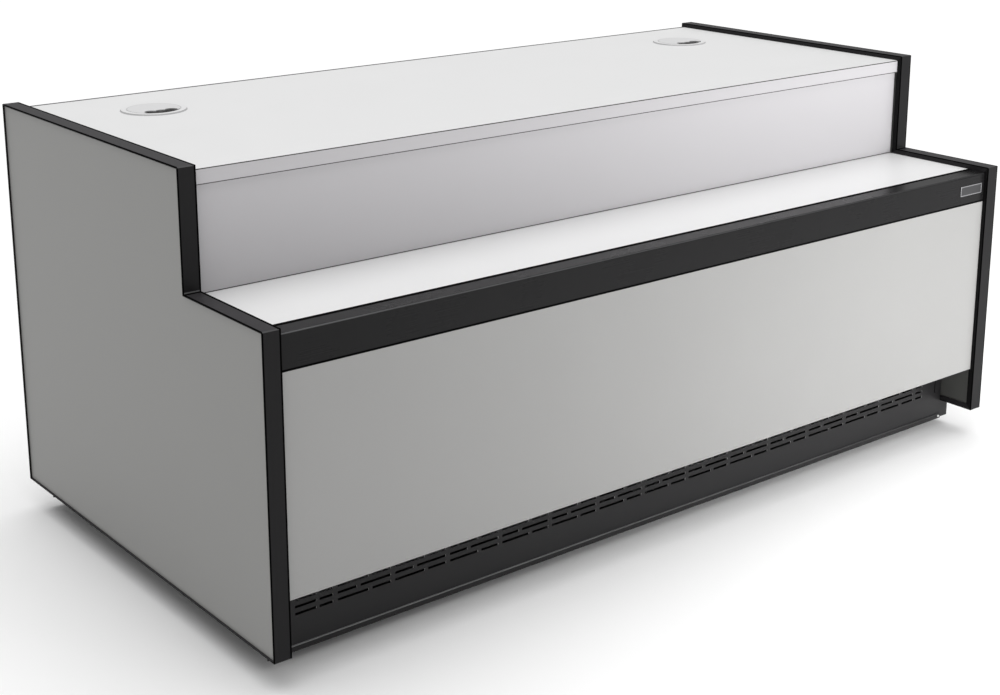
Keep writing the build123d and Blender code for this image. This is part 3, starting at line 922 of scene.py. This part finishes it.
def cleat_places(towards):
    """Places on the upright legs of the cleats that face along X in that direction."""
    places = []
    for side in SIDES:
        for level in ("bottom", "middle"):
            low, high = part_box(f"{side}_{level}_shelf")
            face = low.x if towards > 0 else high.x
            for share in CLEAT_SHARES:
                y = low.y + (high.y - low.y) * share
                places.append((face + towards * (CLEAT_WALL - HEAD_SINK), y, low.z - CLEAT_DROP))
    return places


for side, towards in SIDES.items():
    facing = (float(towards), 0.0, 0.0)
    screw.make(f"cleat_screws_{side}", cleat_places(towards), "counter", "zinc_steel", facing=facing, **SMALL_HEAD)

# %% [markdown]
# ## Bolts that hold the end panels
# Each end panel is bolted to the gable beside it from inside the storage bay. A bolt's head is a six-sided prism whose
# corners are turned down by a cone on a lathe. A Boolean of a prism and a cone would give it too, with slivers again.
# So the tree starts with a round drum and gives each of its points the smaller of two radii: the prism's at that angle
# and the cone's at that height. The rings of the drum are set closer together towards the top, where the cone meets
# the corners. A washer lies under the head.

# %% A hexagon head
DRUM_POINTS = 48
DRUM_RINGS = 10
CROWN_SHARE = 0.475
CONE_SLOPE = math.sqrt(3)


def drum(maker, points, rings):
    """A round drum of radius and height 1, with its middle at the origin."""
    sizes = {"Vertices": points, "Side Segments": rings, "Radius": 1.0, "Depth": 1.0}
    return maker.node("GeometryNodeMeshCylinder", {}, sizes, "Mesh")


def hexagon(maker, flats, height):
    """A hexagon head that stands on Z = 0, with its top corners turned down."""
    x, y, z = maker.position()
    fall = 0.5 - z
    up = height * (1 - fall * fall * fall)
    from_flat = (y.math("ARCTAN2", y, x) % (math.pi / 3)) - math.pi / 6
    prism_radius = flats / 2 / x.math("COSINE", from_flat)
    cone_radius = CROWN_SHARE * flats + CONE_SLOPE * (height - up)
    radius = x.math("MINIMUM", prism_radius, cone_radius)
    return maker.bent(drum(maker, DRUM_POINTS, DRUM_RINGS), x * radius, y * radius, up)


print("a hexagon head has", DRUM_POINTS * DRUM_RINGS, "side faces")

# %% Bolts
bolt = Maker(
    "hexagon_bolt",
    {"Across flats": 0.013, "Head height": 0.0053, "Washer radius": 0.009, "Washer thickness": 0.0016,
     "Facing": (1.0, 0.0, 0.0), "Seed": 7},
)
WASHER_POINTS = 40
BOLT_PLACES = ((0.160, 0.400), (0.900, 0.260), (0.900, 0.760))
thickness = bolt.size("Washer thickness")
washer_sizes = {"Vertices": WASHER_POINTS, "Radius": bolt.size("Washer radius"), "Depth": thickness}
washer = bolt.node("GeometryNodeMeshCylinder", {}, washer_sizes, "Mesh")
bolt_head = bolt.shifted(hexagon(bolt, bolt.size("Across flats"), bolt.size("Head height")), thickness)
stacked = bolt.joined(bolt.shifted(washer, thickness / 2), bolt_head)
bolt.set_down(stacked, FINISHES["zinc_steel"], Rotation=bolt.random_turn())

front = cad_box[0][1]
for side, towards in SIDES.items():
    low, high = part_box(f"{side}_gable")
    inner = high.x if towards > 0 else low.x
    places = [(inner, front + back, height) for back, height in BOLT_PLACES]
    bolt.make(f"{side}_panel_bolts", places, "counter", "zinc_steel", facing=(float(towards), 0.0, 0.0))

# %% [markdown]
# ## Threaded studs
# Each levelling foot hangs on a threaded stud with a hexagon under it for a spanner. The CAD stud is plain, because a
# thread would cost it thousands of facets. A Screw modifier could turn a profile into a thread, but its ends would
# need closing. A thread is a rule: the radius rises and falls once per pitch along the stud, and the rise moves round
# with the angle. So the tree takes a plain tube with many rings and sets the radius of each point from its height and
# its angle.

# %% A threaded stud
stud = Maker(
    "threaded_stud",
    {"Thread radius": 0.005, "Pitch": 0.0015, "Thread depth": 0.0008, "Bottom": 0.0197, "Top": 0.052,
     "Across flats": 0.017, "Head bottom": 0.004},
)
STUD_POINTS = 32
RINGS_PER_PITCH = 8
PITCHES = 22
bottom = stud.size("Bottom")
length = stud.size("Top") - bottom
x, y, z = stud.position()
height = (z + 0.5) * length
turns = y.math("ARCTAN2", y, x) / (2 * math.pi)
crest = 1 - abs(2 * ((height / stud.size("Pitch") - turns) % 1.0) - 1)
run_out = x.math("MINIMUM", (length - height) / stud.size("Pitch"), 1.0)
radius = stud.size("Thread radius") - stud.size("Thread depth") * (1 - crest * run_out)
shank = stud.bent(drum(stud, STUD_POINTS, RINGS_PER_PITCH * PITCHES), x * radius, y * radius, height + bottom)
head_bottom = stud.size("Head bottom")
spanner_head = stud.shifted(hexagon(stud, stud.size("Across flats"), bottom - head_bottom), head_bottom)
stud.set_down(stud.joined(shank, spanner_head), FINISHES["zinc_steel"])
print("studs come from a tree of", len(stud.graph.nodes), "nodes")

# %% Studs of the six feet
for body in frame["bodies"]:
    if body.startswith("foot_"):
        node = body.replace("foot_", "foot_stud_", 1)
        low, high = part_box(node)
        middle = ((low.x + high.x) / 2, (low.y + high.y) / 2, 0.0)
        thread = stud.make(f"threaded_{node}", [middle], body, "zinc_steel", top=high.z, head_bottom=low.z)
        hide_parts(node)

# %% [markdown]
# ## The blank plate
# At the right end of the rail sits a small plate. It is left blank here. It is a thin slab with rounded corners and a
# turned front edge, and its field is pressed back a little, which leaves a bright rim as on a stamped plate. A cube
# with a Bevel modifier would round all of its edges alike, and this plate lies flat on the rail. So it is built from
# six outlines that lie before or inside one another, with a band of faces from each to the next.

# %% Outline of the plate
PLATE_MIDDLE = (0.914, 0.6228)
PLATE_SIZE = (0.078, 0.0235)
PLATE_CORNER = 0.0015
SHARPEST_CORNER = 0.0003
CORNER_STEPS = 5


def plate_outline(inset, y):
    """The plate's rounded outline at a Y, moved in from its edge, from the bottom right corner round."""
    corner = max(PLATE_CORNER - inset, SHARPEST_CORNER)
    half_width, half_height = (side / 2 - inset - corner for side in PLATE_SIZE)
    points = []
    for quarter, (right, up) in enumerate(((1, -1), (1, 1), (-1, 1), (-1, -1))):
        for step in range(CORNER_STEPS + 1):
            angle = math.radians(90 * (quarter - 1) + 90 / CORNER_STEPS * step)
            across = right * half_width + corner * math.cos(angle)
            above = up * half_height + corner * math.sin(angle)
            points.append((PLATE_MIDDLE[0] + across, y, PLATE_MIDDLE[1] + above))
    return points


print("the plate's outline has", len(plate_outline(0, 0)), "points")

# %% Blank plate
PLATE_THICKNESS = 0.0012
PLATE_BEVEL = 0.0003
PLATE_RIM = 0.0016
PLATE_PRESS = 0.0003
plate_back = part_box("front_rail")[0].y
plate_front = plate_back - PLATE_THICKNESS
half_turned = PLATE_BEVEL * (1 - math.sqrt(0.5))
field_inset = PLATE_BEVEL + PLATE_RIM
outlines = [
    plate_outline(0, plate_back),
    plate_outline(0, plate_front + PLATE_BEVEL),
    plate_outline(half_turned, plate_front + half_turned),
    plate_outline(PLATE_BEVEL, plate_front),
    plate_outline(field_inset, plate_front),
    plate_outline(field_inset + PLATE_PRESS, plate_front + PLATE_PRESS),
]
round_count = len(outlines[0])
numbers = [[level * round_count + n for n in range(round_count)] for level in range(len(outlines))]
plate_faces = [numbers[0][::-1], numbers[-1]]
for outer, inner in zip(numbers, numbers[1:]):
    for n in range(round_count):
        after = (n + 1) % round_count
        plate_faces.append((outer[n], outer[after], inner[after], inner[n]))
plate_mesh = bpy.data.meshes.new("blank_plate")
plate_mesh.from_pydata([point for outline in outlines for point in outline], [], plate_faces)
for part in ("plate_rim", "plate_field"):
    plate_mesh.materials.append(FINISHES[part].material)
plate_mesh.polygons[1].material_index = 1
plate = in_scene("blank_plate", plate_mesh)
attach(plate, "counter")
print("blank plate with", len(plate_mesh.polygons), "faces")

# %% [markdown]
# ## The studio
# The photograph has an even white surrounding, and the counter's front brightens from left to right. A picture of a
# studio wrapped round the scene could light it too, but its parts could not be set one by one. A white world gives the
# even light, a very wide sun lamp overhead stands for a lit ceiling, and a key light at the front right gives the drift
# along the front. The key has a narrow spread and points low, so that it leaves the riser softer than the front panel.
# The floor is a plain pale sheet. The Standard view transform keeps the whites as white as the photograph has them.

# %% Floor
FLOOR_HALF_SIDE = 20.0
FLOOR_TONES = ((0.91, 0.91, 0.91), (0.93, 0.93, 0.93))
floor_finish = Finish("pale_floor", {"Roughness": 0.9})
clouds = floor_finish.grain(size=0.6, detail=3.0)
floor_finish.surface({"Base Color": floor_finish.between(clouds, *FLOOR_TONES)})
corners = [(x * FLOOR_HALF_SIDE, y * FLOOR_HALF_SIDE, 0.0) for x, y in ((-1, -1), (1, -1), (1, 1), (-1, 1))]
floor_mesh = bpy.data.meshes.new("floor")
floor_mesh.from_pydata(corners, [], [(0, 1, 2, 3)])
floor_mesh.materials.append(floor_finish.material)
floor = in_scene("floor", floor_mesh)
print("floor laid,", 2 * FLOOR_HALF_SIDE, "metres wide")

# %% Lights
WORLD_STRENGTH = 0.47
CEILING_STRENGTH = 2.15
CEILING_WIDTH = math.radians(70)
CEILING_PLACE = (0.0, 0.0, 4.0)
KEY_PLACE = (1.1, -3.4, 0.8)
KEY_TARGET = (1.02, -0.5, 0.3)
KEY_SIZE = (1.6, 0.7)
KEY_POWER = 12.6
KEY_SPREAD = math.radians(60)

world = bpy.data.worlds.new("studio")
world.use_nodes = True
world.node_tree.nodes["Background"].inputs["Color"].default_value = (1.0, 1.0, 1.0, 1.0)
world.node_tree.nodes["Background"].inputs["Strength"].default_value = WORLD_STRENGTH
bpy.context.scene.world = world

ceiling = bpy.data.lights.new("overhead", "SUN")
ceiling.energy = CEILING_STRENGTH
ceiling.angle = CEILING_WIDTH
in_scene("overhead", ceiling).location = CEILING_PLACE

key = bpy.data.lights.new("key", "AREA")
key.shape = "RECTANGLE"
key.size, key.size_y = KEY_SIZE
key.energy = KEY_POWER
key.spread = KEY_SPREAD
key_box = in_scene("key", key)
key_box.location = KEY_PLACE
key_box.visible_camera = False
key_box.rotation_euler = (Vector(KEY_TARGET) - Vector(KEY_PLACE)).to_track_quat("-Z", "Y").to_euler()
bpy.context.scene.view_settings.view_transform = "Standard"
print("world, overhead and key")
